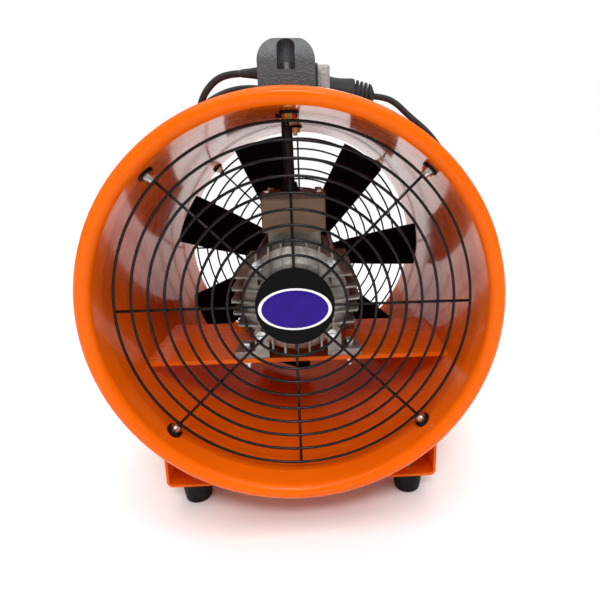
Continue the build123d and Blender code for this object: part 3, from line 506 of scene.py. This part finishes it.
def torus(bm, radius, section, matrix, steps=180, sides=12):
    rings = []
    for step in range(steps):
        angle = 2 * math.pi * step / steps
        ring = []
        for side in range(sides):
            around = 2 * math.pi * side / sides
            reach = radius + section * math.cos(around)
            ring.append(bm.verts.new(matrix @ Vector(
                (reach * math.cos(angle), reach * math.sin(angle), section * math.sin(around))
            )))
        rings.append(ring)
    for step in range(steps):
        first, second = rings[step], rings[(step + 1) % steps]
        for side in range(sides):
            after = (side + 1) % sides
            bm.faces.new([first[side], first[after], second[after], second[side]])


def ball(bm, radius, matrix, squash=(1, 1, 1), segments=10):
    bmesh.ops.create_uvsphere(
        bm, u_segments=segments, v_segments=segments - 2, radius=radius,
        matrix=matrix @ Matrix.Diagonal((*squash, 1)),
    )


# ---------------------------------------------------------------- guards and badge

def wire_guard(name, mirrored, materials):
    """Nine rings welded on the front of eight spokes, with a nugget at each weld."""
    bm = bmesh.new()
    depth = LENGTH - GUARD_DEPTH if mirrored else GUARD_DEPTH
    inward = -1 if mirrored else 1
    flat = along_axis(depth)
    gaps = GUARD_RINGS - 1
    growth = GUARD_RING_SPREAD / gaps**2
    pitch = (GUARD_RADIUS - GUARD_INNERMOST - GUARD_RING_SPREAD) / gaps
    radii = [
        GUARD_INNERMOST + index * pitch + index**2 * growth for index in range(GUARD_RINGS)
    ]
    for radius in radii:
        torus(bm, radius, WIRE, flat)
    for step in range(GUARD_SPOKES):
        turn = flat @ Matrix.Rotation(2 * math.pi * step / GUARD_SPOKES, 4, "Z")
        rod = turn @ Matrix.Translation((0, 0, inward * SPOKE_OFFSET)) @ (
            Matrix.Rotation(math.pi / 2, 4, "Y")
        )
        lathe(bm, [
            (0, GUARD_DISC - DISC_OVERLAP), (WIRE, GUARD_DISC - DISC_OVERLAP),
            (WIRE, GUARD_RADIUS + 0.2),
            (WIRE * 0.6, GUARD_RADIUS + 0.9), (0, GUARD_RADIUS + 1.0),
        ], rod, 12)
        for radius in radii:
            weld = turn @ Matrix.Translation((radius, 0, inward * SPOKE_OFFSET / 2))
            ball(bm, WELD_RADIUS, weld, (0.9, 0.9, 0.75))
    guard = new_piece(
        name, mesh_from(bm, name), materials["black_wire"], "fan_body", 60
    )
    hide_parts("rear_guard" if mirrored else "front_guard")


def badge(materials):
    """A pillowed oval plate: a white border rolled over its edge and a blue field set in it."""
    face_depth = GUARD_DEPTH + SPOKE_OFFSET - WIRE - DISC_THICK
    squash = Matrix.Diagonal((1, BADGE_HALF_HEIGHT / BADGE_HALF_WIDTH, 1, 1))
    front = Matrix.Translation(place(0, face_depth, -BADGE_DROP)) @ (
        Matrix.Rotation(math.pi / 2, 4, "X") @ Matrix.Scale(MM, 4) @ squash
    )
    bm = bmesh.new()
    lathe(bm, [
        (BADGE_HALF_WIDTH, 0), (BADGE_HALF_WIDTH, 0.5), (30.6, 0.95), (29.9, 1.15),
        (28.9, 1.15), (28.3, 0.95), (28.1, 0.55),
    ], front, BADGE_STEPS)
    border = new_piece(
        "badge_plate_border", mesh_from(bm, "badge_plate_border"), materials["badge_white"],
        "fan_body",
    )
    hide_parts("badge_border")
    bm = bmesh.new()
    lathe(bm, [(28.25, 0.5), (27.5, 0.66), (22, 0.8), (12, 0.88), (0, 0.9)], front, BADGE_STEPS)
    field = new_piece(
        "badge_plate_field", mesh_from(bm, "badge_plate_field"), materials["badge_blue"],
        "fan_body",
    )
    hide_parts("badge_field")


# ---------------------------------------------------------------- cord and plug

def draped(angle, depth, radius=166.0):
    """A point over the barrel: angle in degrees to the right of the top, depth, and radius."""
    turn = math.radians(angle)
    return (radius * math.sin(turn), depth, radius * math.cos(turn))


def plug_frame():
    """The plug's own frame in scene units: Z runs from the pin face back along the body."""
    return Matrix.Translation(place(*PLUG_FACE)) @ (
        Matrix.Rotation(math.pi / 2 + PLUG_TILT, 4, "Y") @ Matrix.Scale(MM, 4)
    )


def plug_point(along, below=0):
    """A point on the plug's axis, or below it, by its distance from the pin face."""
    reach = along * math.cos(PLUG_TILT) - below * math.sin(PLUG_TILT)
    drop = along * math.sin(PLUG_TILT) + below * math.cos(PLUG_TILT)
    x, depth, z = PLUG_FACE
    return (x + reach, depth, z - drop)


def cord_route():
    exit_x, exit_depth, exit_height = CORD_EXIT
    return [
        (exit_x - RELIEF_LENGTH + 4, exit_depth, exit_height),
        (exit_x - 25, exit_depth, exit_height),
        (-60.5, 67, 185.5),
        (-72, 70, 174),
        (-80, 80, 158),
        (-87, 99, 148),
        draped(-32, 128),
        draped(-27, 153),
        draped(-18, 165),
        draped(-6, 169),
        draped(7, 168),
        draped(21, 166),
        draped(38, 167),
        draped(55, 168),
        draped(61.5, 135),
        draped(55, 102),
        draped(39, 103),
        draped(26, 121),
        draped(13, 134),
        draped(-1, 140),
        draped(-13, 146, 170),
        draped(-23, 152, 176),
        draped(-36, 159, 173),
        draped(-52.5, 160, 168),
        draped(-59, 127),
        draped(-52.5, 94, 168),
        (-109, 97, 140),
        (-87, 105, 165),
        (-63, 112, 182),
        (-38, 117, 187),
        (-13, 121, 183),
        (12, 127, 179),
        (38, 136, 176),
        draped(22, 147, 177),
        draped(35, 152, 174),
        draped(48, 161, 175),
        draped(63, 163, 174),
        draped(69.5, 130, 167),
        draped(63, 97, 169),
        (147, 98, 115),
        (130, 100, 141),
        (109, 102, 158),
        plug_point(CORD_START + 24, 4),
        plug_point(CORD_START + 12),
        plug_point(CORD_START),
    ]


def mains_cord(materials):
    """A round PVC cord on one smooth spline through the handle and over both sides."""
    data = bpy.data.curves.new("mains_cord", "CURVE")
    data.dimensions = "3D"
    data.bevel_depth = CORD_RADIUS * MM
    data.bevel_resolution = 5
    data.resolution_u = 10
    data.use_fill_caps = True
    route = cord_route()
    spline = data.splines.new("NURBS")
    spline.points.add(len(route) - 1)
    for point, spot in zip(spline.points, route):
        point.co = (*place(*spot), 1)
    spline.order_u = 3
    spline.use_endpoint_u = True
    cord = bpy.data.objects.new("mains_cord", data)
    bpy.context.collection.objects.link(cord)
    data.materials.append(materials["cord_pvc"])
    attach(cord, "fan_body")
    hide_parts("cord")
    return cord


def cord_relief(materials):
    """The smooth tapered sleeve in the handle's side."""
    spot = Matrix.Translation(place(*CORD_EXIT)) @ (
        Matrix.Rotation(-math.pi / 2, 4, "Y") @ Matrix.Scale(MM, 4)
    )
    bm = bmesh.new()
    profile = [
        (0, -6), (4.4, -6), (4.4, 0.2), (4.9, 0.6), (4.9, 1.2), (4.6, 3.5), (4.1, 7), (3.7, 10.5),
        (3.4, 13.5), (3.2, RELIEF_LENGTH - 0.6), (2.9, RELIEF_LENGTH), (2.6, RELIEF_LENGTH - 0.2),
        (0, RELIEF_LENGTH - 1),
    ]
    lathe(bm, profile, spot, 48)
    relief = new_piece(
        "flexible_relief", mesh_from(bm, "flexible_relief"), materials["cord_pvc"],
        "fan_body", 50,
    )
    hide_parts("cord_relief")
    return relief


def plug(materials):
    """The moulded plug: rounded pin face, finger collar and a relief with open slots."""
    bm = bmesh.new()
    length = PLUG_BODY_LENGTH
    end = length + PLUG_RELIEF_LENGTH
    profile = [
        (0, 0.3), (12.2, 0.3), (13.6, 0.5), (14.3, 1.2), (14.6, 2.4), (14.6, 9.5), (14.4, 12),
        (13.9, 16), (13.7, 20), (13.8, 25), (14.1, 29), (14.1, 31), (13.9, 31.8),
    ]
    for step in range(PLUG_SLOTS):
        low = length + 1.0 + PLUG_SLOT_PITCH * step
        outer = 13.7 - 0.8 * step
        core = 9.6 - 0.8 * step
        profile += [
            (outer, low - 0.3), (outer - 0.3, low), (core, low + 0.1),
            (core, low + 1.8), (outer - 0.9, low + 1.9), (outer - 0.7, low + 2.2),
        ]
    profile += [
        (10.6, end - 4.6), (9.6, end - 3.4), (7.6, end - 2.2), (5.6, end - 1.3), (4.2, end - 0.6),
        (3.3, end - 0.2), (2.7, end - 0.3), (0, end - 1),
    ]
    lathe(bm, profile, plug_frame(), 64)
    body = new_piece(
        "moulded_plug", mesh_from(bm, "moulded_plug"), materials["cord_pvc"], "fan_body",
        50,
    )
    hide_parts("plug_body")
    return body


# ---------------------------------------------------------------- making the scene

make_camera()
make_studio()
materials = make_materials()
dress_cad_nodes(materials)
cord = mains_cord(materials)
relief = cord_relief(materials)
plug_piece = plug(materials)
wire_guard("front_wire_guard", False, materials)
wire_guard("rear_wire_guard", True, materials)
badge(materials)
